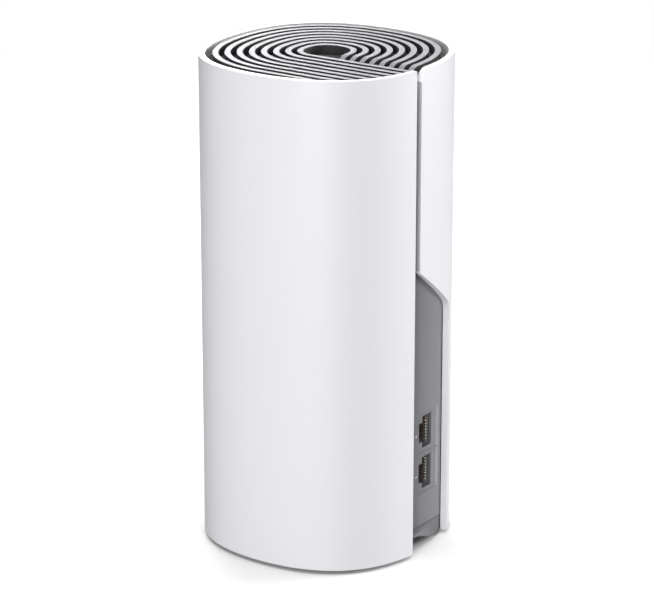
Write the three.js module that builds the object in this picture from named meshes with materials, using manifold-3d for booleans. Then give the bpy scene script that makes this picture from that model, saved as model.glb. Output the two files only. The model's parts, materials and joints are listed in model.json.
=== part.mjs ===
// Mesh wifi node: a tall rounded-square tower with an open wrap-round shell, a ribbed top grille,
// a recessed rear panel with two network sockets, and a power inlet in an underside pocket.
// Millimetres, +Z up, +Y is the rear. The origin is the middle of the underside.

import * as THREE from 'three';
import { mergeVertices } from 'three/addons/utils/BufferGeometryUtils.js';
import ManifoldModule from 'manifold-3d';

const wasm = await ManifoldModule();
wasm.setup();
const { Manifold, Mesh: SolidMesh } = wasm;

// Plan shape: a slightly squared circle, measured across its flats.
const SHELL_FLAT = 45.35;
const SQUARENESS = 0.0255;
const SHELL_WALL = 2.4;
const GAP = 0.3;
const PLAN_STEPS = 96;

// Heights of the stacked pieces.
const TOP_Z = 190;
const SHELL_BOTTOM_Z = 1.5;
const FOOT_HEIGHT = 1.1;
const FOOT_OUTER_FLAT = 39.4;
const FOOT_INNER_FLAT = 34.6;
const BASE_BOTTOM_Z = 1.2;
const COVER_TOP_Z = 3.7;
const BASE_PLATE_Z = 5.2;
const BASE_TOP_Z = 7.2;
const SKIRT_WALL = 2.2;
const FLOOR_TOP_Z = 186.4;
const FLOOR_THICKNESS = 2.2;

// Seam and cut-out of the shell.
const SEAM_X = 7.9;
const SEAM_GAP = 2.8;
const ROLL_RADIUS = 5;
const CUTOUT_FAR_X = -20;
const CUTOUT_HIGH_Z = 113;
const CUTOUT_LOW_Z = 94;
const CUTOUT_END_RADIUS = 4;
const CUTOUT_FAR_RADIUS = 7;
const FAR_OUT = 60;
const ROLL_STEPS = 8;
const ARC_STEPS = 8;

// Grille ribs.
const RIB_COUNT = 8;
const RIB_WIDTH = 2.11;
const RIB_PITCH = 4.266;
const RIB_OUTER_FLAT = 40.36;
const BRIDGE_WIDTH = 1.6;
const BRIDGE_HEIGHT = 0.9;
const BRIDGE_ANGLES = [0, 120, 180, 240];

// Inner chassis and rear panel.
const CHASSIS_WALL = 1.6;
const RAIL_THICKNESS = 2;
const RAIL_TIP_Y = -31;
const RAIL_BOTTOM_Z = 60;
const PANEL_FACE_Y = 39.5;
const PANEL_THICKNESS = 2;
const PANEL_TOP_Z = 121;
const PANEL_LOW_X = -26;
const PANEL_HIGH_X = 13;
const RECESS_MARGIN = 1.3;
const BEZEL_DEPTH = 0.8;
const BEZEL_MIN_X = -17.3;
const BEZEL_MAX_X = -3.6;
const BEZEL_HALF_HEIGHT = 8;

// Network sockets, turned on their side.
const JACK_HEIGHT = 16;
const JACK_PITCH = 16.6;
const JACK_LOW_Z = 28.3;
const JACK_MIN_X = -16.6;
const JACK_MAX_X = -3;
const JACK_BACK_Y = 17;
const SHIELD_WALL = 0.5;
const CAVITY_X = -14;
const CAVITY_TIERS = [[6.2, 6.3], [8.4, 3.8]];
const CAVITY_BACK_Y = 23.5;
const CONTACT_COUNT = 8;
const CONTACT_PITCH = 1.2;
const CONTACT_WIDTH = 0.45;
const CONTACT_THICKNESS = 0.6;
const CONTACT_TIP_Y = 36.5;
const CONTACT_BAR = 1.2;
const SOCKET_CLEARANCE = 0.1;

// Underside pocket with the power inlet.
const POCKET = { x0: -2.9, x1: 10.9, y0: 5.7, y1: 35.6, z1: 13.7 };
const POCKET_WALL = 1.6;
const INLET = { x: 4, z: 8.5, front: 17.7, back: 6, width: 9 };
const INLET_BORE = 6.4;
const INLET_BORE_DEPTH = 9.5;
const INLET_PIN = 2;
const INLET_PIN_TIP_Y = 12.5;
const SLEEVE_HALF_WIDTH = 0.8;
const SLEEVE_THICKNESS = 0.35;
const ARCH_HALF_WIDTH = 20;
const ARCH_TOP_Z = 6.2;
const ARCH_STEPS = 14;

// Reset button, under the base.
const BUTTON = { x: -20, y: -6, radius: 2.2, flange: 3.7, stem: 1.3 };
const BUTTON_FACE_Z = 1.7;
const FLANGE_Z = 7.7;
const FLANGE_THICKNESS = 0.8;
const STEM_TOP_Z = 11.4;
const SPRING_TURNS = 3;
const SPRING_RADIUS = 2.3;
const SPRING_WIRE = 0.28;
const SPRING_STEPS_PER_TURN = 12;
const SWITCH_HALF = 3.2;
const SWITCH_BOTTOM_Z = 12.1;

// Circuit boards and what they carry.
const BOARD_LEFT_X = -2.7;
const BOARD_RIGHT_X = -1.1;
const BOARD_BOTTOM_Z = 18.5;
const BOARD_TOP_Z = 150;
const BASE_BOARD_Z = 15.9;
const BASE_BOARD_THICKNESS = 1.5;
const SINK_FIN_COUNT = 9;
const SINK_FIN_PITCH = 6.4;
const SINK_FIN_THICKNESS = 1.3;
const SINK_SCREW_Y = 26;
const SINK_SCREW_Z = [80, 132];
const SINK_RISE = 3.3;
const SINK_PLATE = 3;
const SINK_FIN_REACH = 14;
const SINK_SPAN_Y = [-30, 30];
const SINK_SPAN_Z = [72, 140];
const SPREADER_RISE = 4.4;
const CAN_HEIGHT = 2.7;
const CAN_SPAN_Y = [-14, 14];
const CAN_SPAN_Z = [88, 124];
const ANTENNA_RADIUS = 37.4;
const ANTENNA_ANGLES = [45, 135, 225, 315];
const LEAD_RADIUS = 0.6;
const LIGHT_Z = 12.5;
const LIGHT_RADIUS = 1.1;
const CONNECTOR_HEIGHT = 1.5;
const CONNECTOR_HALF = 1.6;
const LEAD_START_Y = 10;
const LEAD_START_Z = 144.5;
const COVER_SCREWS = [[-23, -22], [23, -22], [-23, 22], [23, 22]];
const SCREW_HOLE = 1.4;
const SCREW_SHANK = 1.1;
const BOSS_RADIUS = 3.2;
const BOSS_TOP_Z = 10.4;
const COVER_SCREW = { head: 2.4, bottom: 1.5, headTop: 2.5, tip: 9.5, slot: 1.5, slotHalf: 0.3 };
const VENT = { rows: 7, pitch: 4, firstY: -26, width: 1.6, starts: [-12.2, 3.8], length: 10.4 };
const CAPACITOR = { y: -16, z: 42, radius: 4, length: 11 };

// Blocks on the main board: name, side, rise off the board, thickness, span in Y, span in Z, finish.
const BOARD_PIECES = [
  ['processor', -1, GAP, 1.7, [-10, 10], [96, 116], 'chip_black'],
  ['processor_pad', -1, 2.3, 0.7, [-9, 9], [97, 115], 'thermal_pad'],
  ['memory_chip', -1, GAP, 1.2, [14, 24], [98, 112], 'chip_black'],
  ['network_transformer', -1, GAP, 5.2, [1, 13.5], [26, 45], 'chip_black'],
  ['flash_chip', 1, GAP, 1.1, [-24, -16], [60, 66], 'chip_black'],
  ['wifi_chip', 1, GAP, 1.5, [-6, 6], [98, 110], 'chip_black'],
  ['shield_pad', 1, 3.3, 0.8, [-10, 10], [95, 117], 'thermal_pad'],
  ['power_inductor', 1, GAP, 5.2, [6, 16], [36, 46], 'chip_black'],
  ['board_connector', 1, GAP, 3.6, [-26, -6], [17.7, 22], 'chip_black'],
];

const DEG = Math.PI / 180;

// Colours and finishes.
const FINISH = {
  shell_white: { color: 0xf3f4f8, roughness: 0.42, metalness: 0 },
  rib_grey: { color: 0xc6c6ce, roughness: 0.5, metalness: 0 },
  dark_plastic: { color: 0x45444a, roughness: 0.6, metalness: 0 },
  panel_grey: { color: 0x7b7a80, roughness: 0.55, metalness: 0 },
  jack_plastic: { color: 0x5e5d63, roughness: 0.5, metalness: 0 },
  rubber_black: { color: 0x232326, roughness: 0.85, metalness: 0 },
  tin_steel: { color: 0xb9babd, roughness: 0.35, metalness: 1 },
  contact_gold: { color: 0xc99b4b, roughness: 0.3, metalness: 1 },
  screw_steel: { color: 0x9b9da1, roughness: 0.35, metalness: 1 },
  board_green: { color: 0x1f5a3c, roughness: 0.5, metalness: 0 },
  chip_black: { color: 0x1c1c1f, roughness: 0.45, metalness: 0 },
  sink_aluminium: { color: 0xa9abb0, roughness: 0.4, metalness: 1 },
  thermal_pad: { color: 0x8fa6b8, roughness: 0.9, metalness: 0 },
  lead_black: { color: 0x2a2a2c, roughness: 0.6, metalness: 0 },
  lens_clear: { color: 0xe8eef2, roughness: 0.15, metalness: 0 },
};

// ---------- solids ----------

function toSolid(geometry) {
  const bare = new THREE.BufferGeometry();
  const flat = geometry.index ? geometry.toNonIndexed() : geometry;
  bare.setAttribute('position', flat.getAttribute('position'));
  const welded = mergeVertices(bare, 1e-4);
  const mesh = new SolidMesh({
    numProp: 3,
    vertProperties: new Float32Array(welded.getAttribute('position').array),
    triVerts: new Uint32Array(welded.index.array),
  });
  return new Manifold(mesh);
}

function toGeometry(solid) {
  const mesh = solid.getMesh();
  const geometry = new THREE.BufferGeometry();
  geometry.setAttribute('position', new THREE.BufferAttribute(new Float32Array(mesh.vertProperties), 3));
  geometry.setIndex(new THREE.BufferAttribute(new Uint32Array(mesh.triVerts), 1));
  geometry.computeVertexNormals();
  return geometry;
}

function extrude(points, depth, holes) {
  const shape = new THREE.Shape(points.map(([a, b]) => new THREE.Vector2(a, b)));
  for (const hole of holes) {
    shape.holes.push(new THREE.Path(hole.map(([a, b]) => new THREE.Vector2(a, b))));
  }
  return new THREE.ExtrudeGeometry(shape, { depth, bevelEnabled: false });
}

function prismZ(points, z0, z1, holes = []) {
  return toSolid(extrude(points, z1 - z0, holes).translate(0, 0, z0));
}

function prismY(points, y0, y1) {
  const turn = new THREE.Matrix4().makeBasis(
    new THREE.Vector3(1, 0, 0), new THREE.Vector3(0, 0, 1), new THREE.Vector3(0, -1, 0));
  return toSolid(extrude(points, y1 - y0, []).applyMatrix4(turn).translate(0, y1, 0));
}

function block(x0, x1, y0, y1, z0, z1) {
  const geometry = new THREE.BoxGeometry(x1 - x0, y1 - y0, z1 - z0);
  return toSolid(geometry.translate((x0 + x1) / 2, (y0 + y1) / 2, (z0 + z1) / 2));
}

function rodZ(x, y, radius, z0, z1, sides = 20) {
  const geometry = new THREE.CylinderGeometry(radius, radius, z1 - z0, sides).rotateX(Math.PI / 2);
  return toSolid(geometry.translate(x, y, (z0 + z1) / 2));
}

function rodY(x, z, radius, y0, y1, sides = 24) {
  const geometry = new THREE.CylinderGeometry(radius, radius, y1 - y0, sides);
  return toSolid(geometry.translate(x, (y0 + y1) / 2, z));
}

function rodX(y, z, radius, x0, x1, sides = 16) {
  const geometry = new THREE.CylinderGeometry(radius, radius, x1 - x0, sides).rotateZ(Math.PI / 2);
  return toSolid(geometry.translate((x0 + x1) / 2, y, z));
}

// A closed round rod that follows a row of points.
function rodAlong(points, radius, sides) {
  const positions = [];
  const rings = [];
  let side = new THREE.Vector3(0, 0, 1);
  points.forEach((point, i) => {
    const before = points[Math.max(i - 1, 0)];
    const after = points[Math.min(i + 1, points.length - 1)];
    const along = after.clone().sub(before).normalize();
    if (i === 0 && Math.abs(along.z) > 0.9) side = new THREE.Vector3(1, 0, 0);
    side = side.clone().addScaledVector(along, -side.dot(along)).normalize();
    const other = along.clone().cross(side);
    const ring = [];
    for (let k = 0; k < sides; k += 1) {
      const turn = (k / sides) * 2 * Math.PI;
      ring.push(point.clone()
        .addScaledVector(side, radius * Math.cos(turn))
        .addScaledVector(other, radius * Math.sin(turn)));
    }
    rings.push(ring);
  });
  const push = (...corners) => corners.forEach((corner) => positions.push(corner.x, corner.y, corner.z));
  for (let i = 0; i + 1 < rings.length; i += 1) {
    for (let k = 0; k < sides; k += 1) {
      const next = (k + 1) % sides;
      push(rings[i][k], rings[i][next], rings[i + 1][next]);
      push(rings[i][k], rings[i + 1][next], rings[i + 1][k]);
    }
  }
  const last = rings.length - 1;
  for (let k = 0; k < sides; k += 1) {
    const next = (k + 1) % sides;
    push(points[0], rings[0][next], rings[0][k]);
    push(points[last], rings[last][k], rings[last][next]);
  }
  const geometry = new THREE.BufferGeometry();
  geometry.setAttribute('position', new THREE.Float32BufferAttribute(positions, 3));
  return toSolid(geometry);
}

function joined(solids) {
  return solids.reduce((sum, solid) => sum.add(solid));
}

function without(solid, cutters) {
  return cutters.reduce((rest, cutter) => rest.subtract(cutter), solid);
}

// ---------- plan curves ----------

function planRadius(flat, angle) {
  return (flat * (1 - SQUARENESS * Math.cos(4 * angle))) / (1 - SQUARENESS);
}

function planPoint(flat, angle) {
  const radius = planRadius(flat, angle);
  return [radius * Math.cos(angle), radius * Math.sin(angle)];
}

function planLoop(flat, steps = PLAN_STEPS) {
  return Array.from({ length: steps }, (_, i) => planPoint(flat, (i / steps) * 2 * Math.PI));
}

function planDisc(flat, z0, z1, steps) {
  return prismZ(planLoop(flat, steps), z0, z1);
}

function planRing(outerFlat, innerFlat, z0, z1, steps) {
  return prismZ(planLoop(outerFlat, steps), z0, z1, [planLoop(innerFlat, steps)]);
}

// Angle at which a plan curve reaches the given x, on the rear side.
function angleAtX(flat, x) {
  let low = 0;
  let high = Math.PI;
  for (let i = 0; i < 40; i += 1) {
    const middle = (low + high) / 2;
    if (planPoint(flat, middle)[0] > x) low = middle;
    else high = middle;
  }
  return low;
}

// A polygon whose corners [a, b, radius] are rounded by true tangent arcs.
function roundedLoop(corners) {
  const loop = [];
  corners.forEach(([a, b, radius], i) => {
    const here = new THREE.Vector2(a, b);
    const [pa, pb] = corners[(i + corners.length - 1) % corners.length];
    const [na, nb] = corners[(i + 1) % corners.length];
    const back = new THREE.Vector2(pa, pb).sub(here).normalize();
    const ahead = new THREE.Vector2(na, nb).sub(here).normalize();
    if (!radius) {
      loop.push([a, b]);
      return;
    }
    const half = Math.acos(back.dot(ahead)) / 2;
    const start = here.clone().addScaledVector(back, radius / Math.tan(half));
    const end = here.clone().addScaledVector(ahead, radius / Math.tan(half));
    const centre = here.clone().addScaledVector(back.clone().add(ahead).normalize(), radius / Math.sin(half));
    const from = start.clone().sub(centre);
    const turn = Math.atan2(from.cross(end.clone().sub(centre)), from.dot(end.clone().sub(centre)));
    for (let k = 0; k <= ARC_STEPS; k += 1) {
      const point = from.clone().rotateAround(new THREE.Vector2(), (turn * k) / ARC_STEPS).add(centre);
      loop.push([point.x, point.y]);
    }
  });
  return loop;
}

// ---------- shared cutters ----------

const seamEndX = SEAM_X - SEAM_GAP;
const shellInnerFlat = SHELL_FLAT - SHELL_WALL;
const chassisFlat = shellInnerFlat - GAP - 0.05;
const chassisInnerFlat = chassisFlat - CHASSIS_WALL;

// The rounded roll at the seam end: everything above a quarter circle that runs along Y.
function rollCutter() {
  const points = [[seamEndX + GAP, TOP_Z + 1], [seamEndX - ROLL_RADIUS, TOP_Z + 1]];
  for (let i = 0; i <= ROLL_STEPS; i += 1) {
    const turn = (i / ROLL_STEPS) * (Math.PI / 2);
    points.push([
      seamEndX - ROLL_RADIUS + ROLL_RADIUS * Math.sin(turn),
      TOP_Z - ROLL_RADIUS + ROLL_RADIUS * Math.cos(turn),
    ]);
  }
  points.push([seamEndX + GAP, TOP_Z - ROLL_RADIUS]);
  return prismY(points.reverse(), RIB_PITCH, FAR_OUT);
}

function cutoutLoop(margin) {
  return roundedLoop([
    [SEAM_X + margin, -1, 0],
    [SEAM_X + margin, CUTOUT_HIGH_Z + ROLL_RADIUS + margin, 0],
    [seamEndX, CUTOUT_HIGH_Z + ROLL_RADIUS + margin, 0],
    [seamEndX, CUTOUT_HIGH_Z + margin, margin ? 0 : CUTOUT_END_RADIUS],
    [CUTOUT_FAR_X - margin, CUTOUT_LOW_Z + margin, CUTOUT_FAR_RADIUS],
    [CUTOUT_FAR_X - margin, -1, 0],
  ]);
}

// The cable arch in the rear edge of the base.
function archCutter() {
  const points = [[INLET.x + ARCH_HALF_WIDTH, -1], [INLET.x - ARCH_HALF_WIDTH, -1]].reverse();
  for (let i = 0; i <= ARCH_STEPS; i += 1) {
    const offset = ARCH_HALF_WIDTH * (1 - (2 * i) / ARCH_STEPS);
    const rise = (1 + Math.cos((Math.PI * offset) / ARCH_HALF_WIDTH)) / 2;
    points.push([INLET.x + offset, BASE_BOTTOM_Z + (ARCH_TOP_Z - BASE_BOTTOM_Z) * rise]);
  }
  return prismY(points, POCKET.y1 - 1, FAR_OUT);
}

// The mouth of a socket: a rectangle with a narrower notch for the plug's latch.
function socketLoop(centreZ, margin) {
  const upper = [[CAVITY_X - margin, CAVITY_TIERS[0][1] + margin]];
  CAVITY_TIERS.forEach(([reach, half], i) => {
    const next = CAVITY_TIERS[i + 1];
    upper.push([CAVITY_X + reach + margin, half + margin]);
    if (next) upper.push([CAVITY_X + reach + margin, next[1] + margin]);
  });
  const lower = upper.map(([x, z]) => [x, -z]).reverse();
  return [...lower, ...upper].map(([x, z]) => [x, z + centreZ]);
}

function pocketCutter() {
  return block(POCKET.x0, POCKET.x1, POCKET.y0, POCKET.y1, -1, POCKET.z1);
}

// ---------- sub-parts ----------

function outerShell() {
  const wall = planRing(SHELL_FLAT, shellInnerFlat, SHELL_BOTTOM_Z, TOP_Z);
  return without(wall, [
    block(seamEndX, SEAM_X, SHELL_FLAT / 2, FAR_OUT, 0, TOP_Z + 1),
    prismY(cutoutLoop(0), SHELL_FLAT / 2, FAR_OUT),
    rollCutter(),
    rodY(0, LIGHT_Z, LIGHT_RADIUS + GAP, -FAR_OUT, -SHELL_FLAT / 2),
  ]);
}

function ribLoop(index) {
  const outer = RIB_OUTER_FLAT - index * RIB_PITCH;
  const inner = outer - RIB_WIDTH;
  const steps = Math.round(12 + outer * 0.6);
  const edge = (flat) => {
    const start = angleAtX(flat, seamEndX);
    const wallAngle = angleAtX(shellInnerFlat - GAP, flat);
    const points = [];
    for (let i = 0; i <= steps; i += 1) {
      points.push(planPoint(flat, start + ((2 * Math.PI - start) * i) / steps));
    }
    points.push(planPoint(shellInnerFlat - GAP, wallAngle));
    return points;
  };
  return [...edge(outer), ...edge(inner).reverse()];
}

function topGrille() {
  const bottom = FLOOR_TOP_Z + GAP;
  const pieces = [];
  for (let i = 0; i < RIB_COUNT; i += 1) {
    pieces.push(prismZ(ribLoop(i), bottom, TOP_Z));
  }
  const innerEdge = RIB_OUTER_FLAT - (RIB_COUNT - 1) * RIB_PITCH - RIB_WIDTH / 2;
  const outerEdge = RIB_OUTER_FLAT - RIB_WIDTH / 2;
  for (const angle of BRIDGE_ANGLES) {
    const bar = new THREE.BoxGeometry(outerEdge - innerEdge, BRIDGE_WIDTH, BRIDGE_HEIGHT);
    bar.translate((outerEdge + innerEdge) / 2, 0, bottom + BRIDGE_HEIGHT / 2).rotateZ(angle * DEG);
    pieces.push(toSolid(bar));
  }
  return joined(pieces).subtract(rollCutter());
}

function topFloor() {
  const plate = planDisc(shellInnerFlat - GAP, FLOOR_TOP_Z - FLOOR_THICKNESS, FLOOR_TOP_Z);
  return plate.subtract(rollCutter().translate([0, 0, -GAP]));
}

function innerChassis() {
  const bottom = BASE_TOP_Z + GAP;
  const top = FLOOR_TOP_Z - FLOOR_THICKNESS - GAP;
  const tube = planRing(chassisFlat, chassisInnerFlat, bottom, top);
  const rails = [BOARD_LEFT_X - GAP - RAIL_THICKNESS, BOARD_RIGHT_X + GAP];
  const bars = rails.map((x) => block(x, x + RAIL_THICKNESS, -chassisInnerFlat - CHASSIS_WALL / 2, RAIL_TIP_Y,
    RAIL_BOTTOM_Z, BOARD_TOP_Z));
  return without(joined([tube, ...bars]), [
    block(PANEL_LOW_X - GAP, PANEL_HIGH_X + GAP, SHELL_FLAT / 2, FAR_OUT, 0, PANEL_TOP_Z + GAP),
    rodY(0, LIGHT_Z, LIGHT_RADIUS + GAP, -FAR_OUT, -SHELL_FLAT / 2),
  ]);
}

const jackCentres = [JACK_LOW_Z, JACK_LOW_Z + JACK_PITCH];

function rearPanel() {
  const bottom = BASE_TOP_Z + GAP;
  const solid = planDisc(chassisFlat, bottom, PANEL_TOP_Z);
  const slab = block(PANEL_LOW_X, PANEL_HIGH_X, PANEL_FACE_Y - PANEL_THICKNESS, FAR_OUT, bottom, PANEL_TOP_Z);
  const bezels = jackCentres.map((z) => block(BEZEL_MIN_X, BEZEL_MAX_X, PANEL_FACE_Y - BEZEL_DEPTH, FAR_OUT,
    z - BEZEL_HALF_HEIGHT, z + BEZEL_HALF_HEIGHT));
  const holes = jackCentres.map((z) => prismY(socketLoop(z, SOCKET_CLEARANCE), SHELL_FLAT / 2, FAR_OUT));
  return without(solid.intersect(slab), [
    prismY(cutoutLoop(RECESS_MARGIN), PANEL_FACE_Y, FAR_OUT),
    ...bezels,
    ...holes,
  ]);
}

const jackFrontY = PANEL_FACE_Y - PANEL_THICKNESS - GAP;

function jackShield() {
  const half = JACK_HEIGHT / 2;
  const wall = SHIELD_WALL;
  const outer = block(JACK_MIN_X, JACK_MAX_X, JACK_BACK_Y, jackFrontY, -half, half);
  return outer.subtract(block(JACK_MIN_X + wall, JACK_MAX_X - wall, JACK_BACK_Y + wall, FAR_OUT,
    wall - half, half - wall));
}

function jackInsulator() {
  const inset = SHIELD_WALL + GAP;
  const half = JACK_HEIGHT / 2 - inset;
  const body = block(JACK_MIN_X + inset, JACK_MAX_X - inset, JACK_BACK_Y + inset, jackFrontY - GAP,
    -half, half);
  return body.subtract(prismY(socketLoop(0, 0), CAVITY_BACK_Y, FAR_OUT));
}

function jackContacts() {
  const x0 = CAVITY_X + CONTACT_THICKNESS;
  const x1 = x0 + CONTACT_THICKNESS;
  const barY = CAVITY_BACK_Y + GAP;
  const outermost = ((CONTACT_COUNT - 1) / 2) * CONTACT_PITCH;
  const span = outermost + CONTACT_WIDTH;
  const pieces = [block(x0, x1, barY, barY + CONTACT_BAR, -span, span)];
  for (let i = 0; i < CONTACT_COUNT; i += 1) {
    const z = i * CONTACT_PITCH - outermost;
    pieces.push(block(x0, x1, barY + CONTACT_BAR / 2, CONTACT_TIP_Y,
      z - CONTACT_WIDTH / 2, z + CONTACT_WIDTH / 2));
  }
  return joined(pieces);
}

function baseMoulding() {
  const wall = POCKET_WALL;
  const plate = planDisc(chassisFlat, BASE_PLATE_Z, BASE_TOP_Z);
  const skirt = planRing(chassisFlat, chassisFlat - SKIRT_WALL, BASE_BOTTOM_Z,
    (BASE_PLATE_Z + BASE_TOP_Z) / 2);
  const tub = block(POCKET.x0 - wall, POCKET.x1 + wall, POCKET.y0 - wall, POCKET.y1 + wall,
    BASE_PLATE_Z, POCKET.z1 + wall);
  const bosses = COVER_SCREWS.map(([x, y]) => rodZ(x, y, BOSS_RADIUS, BASE_PLATE_Z, BOSS_TOP_Z));
  return without(joined([plate, skirt, tub, ...bosses]), [
    pocketCutter(),
    archCutter(),
    rodZ(BUTTON.x, BUTTON.y, BUTTON.radius + GAP, 0, BOSS_TOP_Z),
    ...COVER_SCREWS.map(([x, y]) => rodZ(x, y, SCREW_HOLE, 0, COVER_SCREW.tip + GAP, 12)),
  ]);
}

function bottomCover() {
  const bottom = FOOT_HEIGHT + GAP;
  const plate = planDisc(chassisFlat - SKIRT_WALL - GAP, bottom, COVER_TOP_Z);
  const vents = [];
  for (let row = 0; row < VENT.rows; row += 1) {
    const y = VENT.firstY + row * VENT.pitch;
    VENT.starts.forEach((x) => vents.push(block(x, x + VENT.length, y, y + VENT.width, 0, BASE_PLATE_Z)));
  }
  return without(plate, [
    block(POCKET.x0, POCKET.x1, INLET.front + GAP, POCKET.y1, 0, BASE_PLATE_Z),
    archCutter(),
    rodZ(BUTTON.x, BUTTON.y, BUTTON.radius + GAP, 0, BASE_PLATE_Z),
    ...vents,
    ...COVER_SCREWS.map(([x, y]) => rodZ(x, y, SCREW_HOLE, 0, BASE_PLATE_Z, 12)),
    ...COVER_SCREWS.map(([x, y]) => rodZ(x, y, COVER_SCREW.head + GAP, 0, COVER_SCREW.headTop + GAP / 2)),
  ]);
}

function footRing() {
  const mouth = ARCH_HALF_WIDTH - 2;
  const ring = planRing(FOOT_OUTER_FLAT, FOOT_INNER_FLAT, 0, FOOT_HEIGHT, 64);
  return ring.subtract(block(INLET.x - mouth, INLET.x + mouth, 0, FAR_OUT, -1, FOOT_HEIGHT + 1));
}

function coverScrew() {
  const { head, bottom, headTop, tip, slot, slotHalf } = COVER_SCREW;
  const cap = rodZ(0, 0, head, bottom, headTop);
  const shank = rodZ(0, 0, SCREW_SHANK, (bottom + headTop) / 2, tip, 12);
  return without(cap.add(shank), [
    block(-slot, slot, -slotHalf, slotHalf, 0, bottom + slotHalf),
    block(-slotHalf, slotHalf, -slot, slot, 0, bottom + slotHalf),
  ]);
}

function dcHousing() {
  const half = INLET.width / 2;
  const body = block(-half, half, INLET.back, INLET.front, -half, half);
  return body.subtract(rodY(0, 0, INLET_BORE / 2, INLET.front - INLET_BORE_DEPTH, FAR_OUT));
}

const inletRootY = INLET.front - INLET_BORE_DEPTH + GAP;

function dcCentrePin() {
  return rodY(0, 0, INLET_PIN / 2, inletRootY, INLET_PIN_TIP_Y, 16);
}

// The leaf that presses on the outside of the plug's barrel.
function dcSleeveContact() {
  const low = -INLET_BORE / 2 + GAP + SLEEVE_THICKNESS / 3;
  return block(-SLEEVE_HALF_WIDTH, SLEEVE_HALF_WIDTH, inletRootY, INLET.front - 1,
    low, low + SLEEVE_THICKNESS);
}

function resetButton() {
  const cap = rodZ(0, 0, BUTTON.radius, BUTTON_FACE_Z, FLANGE_Z + FLANGE_THICKNESS / 2);
  const flange = rodZ(0, 0, BUTTON.flange, FLANGE_Z, FLANGE_Z + FLANGE_THICKNESS);
  const stem = rodZ(0, 0, BUTTON.stem, FLANGE_Z + FLANGE_THICKNESS / 2, STEM_TOP_Z, 12);
  return joined([cap, flange, stem]);
}

function resetSpring() {
  const bottom = FLANGE_Z + FLANGE_THICKNESS + GAP + SPRING_WIRE;
  const top = STEM_TOP_Z + GAP - SPRING_WIRE;
  const steps = SPRING_TURNS * SPRING_STEPS_PER_TURN;
  const points = [];
  for (let i = 0; i <= steps; i += 1) {
    const turn = (i / SPRING_STEPS_PER_TURN) * 2 * Math.PI;
    points.push(new THREE.Vector3(
      SPRING_RADIUS * Math.cos(turn),
      SPRING_RADIUS * Math.sin(turn),
      bottom + ((top - bottom) * i) / steps,
    ));
  }
  return rodAlong(points, SPRING_WIRE, 5);
}

function resetSwitch() {
  return block(-SWITCH_HALF, SWITCH_HALF, -SWITCH_HALF, SWITCH_HALF, SWITCH_BOTTOM_Z, BASE_BOARD_Z - GAP);
}

function statusLed() {
  return block(-1.5, 1.5, -36.3, -34.7, LIGHT_Z + 1.6, BASE_BOARD_Z - GAP);
}

// A clear rod to the outside, on a wide head that catches the light of the lamp above it.
function lightPipe() {
  const lens = rodY(0, LIGHT_Z, LIGHT_RADIUS, -SHELL_FLAT + SOCKET_CLEARANCE, -37.5, 16);
  return lens.add(block(-2, 2, -38.2, -34.4, LIGHT_Z - 1.5, LIGHT_Z + 1.3));
}

function baseBoard() {
  return planDisc(36.4, BASE_BOARD_Z, BASE_BOARD_Z + BASE_BOARD_THICKNESS, 48);
}

const sinkScrewSpots = SINK_SCREW_Z.flatMap((z) => [[-SINK_SCREW_Y, z], [SINK_SCREW_Y, z]]);

function mainBoard() {
  const board = block(BOARD_LEFT_X, BOARD_RIGHT_X, -34, 36.5, BOARD_BOTTOM_Z, BOARD_TOP_Z);
  return without(board, sinkScrewSpots.map(([y, z]) => rodX(y, z, SCREW_HOLE, -FAR_OUT, FAR_OUT)));
}

// A block that sits on a face of the main board, measured outwards from that face.
function boardPiece(side, rise, thickness, [y0, y1], [z0, z1]) {
  const near = side * rise;
  const far = near + side * thickness;
  return block(Math.min(near, far), Math.max(near, far), y0, y1, z0, z1);
}

function powerCapacitor() {
  return rodX(CAPACITOR.y, CAPACITOR.z, CAPACITOR.radius, GAP, GAP + CAPACITOR.length, 20);
}

function heatSink() {
  const pieces = [boardPiece(-1, SINK_RISE, SINK_PLATE, SINK_SPAN_Y, SINK_SPAN_Z)];
  const root = SINK_RISE + SINK_PLATE - SINK_FIN_THICKNESS;
  for (let i = 0; i < SINK_FIN_COUNT; i += 1) {
    const y = (i - (SINK_FIN_COUNT - 1) / 2) * SINK_FIN_PITCH;
    const half = SINK_FIN_THICKNESS / 2;
    pieces.push(boardPiece(-1, root, SINK_FIN_REACH, [y - half, y + half], SINK_SPAN_Z));
  }
  const holes = sinkScrewSpots.map(([y, z]) => rodX(y, z, SCREW_HOLE, -FAR_OUT, 0));
  return without(joined(pieces), holes);
}

// A screw through the board into the heat sink, drawn about its own axis.
function sinkScrew() {
  const boardThickness = BOARD_RIGHT_X - BOARD_LEFT_X;
  const tip = GAP - boardThickness - SINK_RISE - SINK_PLATE;
  const head = rodX(0, 0, COVER_SCREW.head, GAP, GAP + 1.6);
  return head.add(rodX(0, 0, SCREW_SHANK, tip, 2 * GAP, 12));
}

function heatSpreader() {
  const plate = boardPiece(1, SPREADER_RISE, 2, [-30, 30], [74, 142]);
  const legs = [];
  for (const y of [-20, 20]) {
    for (const z of [78, 138]) {
      legs.push(boardPiece(1, GAP, SPREADER_RISE, [y - 1.5, y + 1.5], [z - 1.5, z + 1.5]));
    }
  }
  return joined([plate, ...legs]);
}

function shieldCan() {
  const wall = 0.4;
  const outer = boardPiece(1, GAP, CAN_HEIGHT, CAN_SPAN_Y, CAN_SPAN_Z);
  const inside = [CAN_SPAN_Y, CAN_SPAN_Z].map(([low, high]) => [low + wall, high - wall]);
  return outer.subtract(boardPiece(1, 0, CAN_HEIGHT + GAP - wall, ...inside));
}

function antennaBoard() {
  return block(ANTENNA_RADIUS - 0.4, ANTENNA_RADIUS + 0.4, -12, 12, 154, 176);
}

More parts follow.
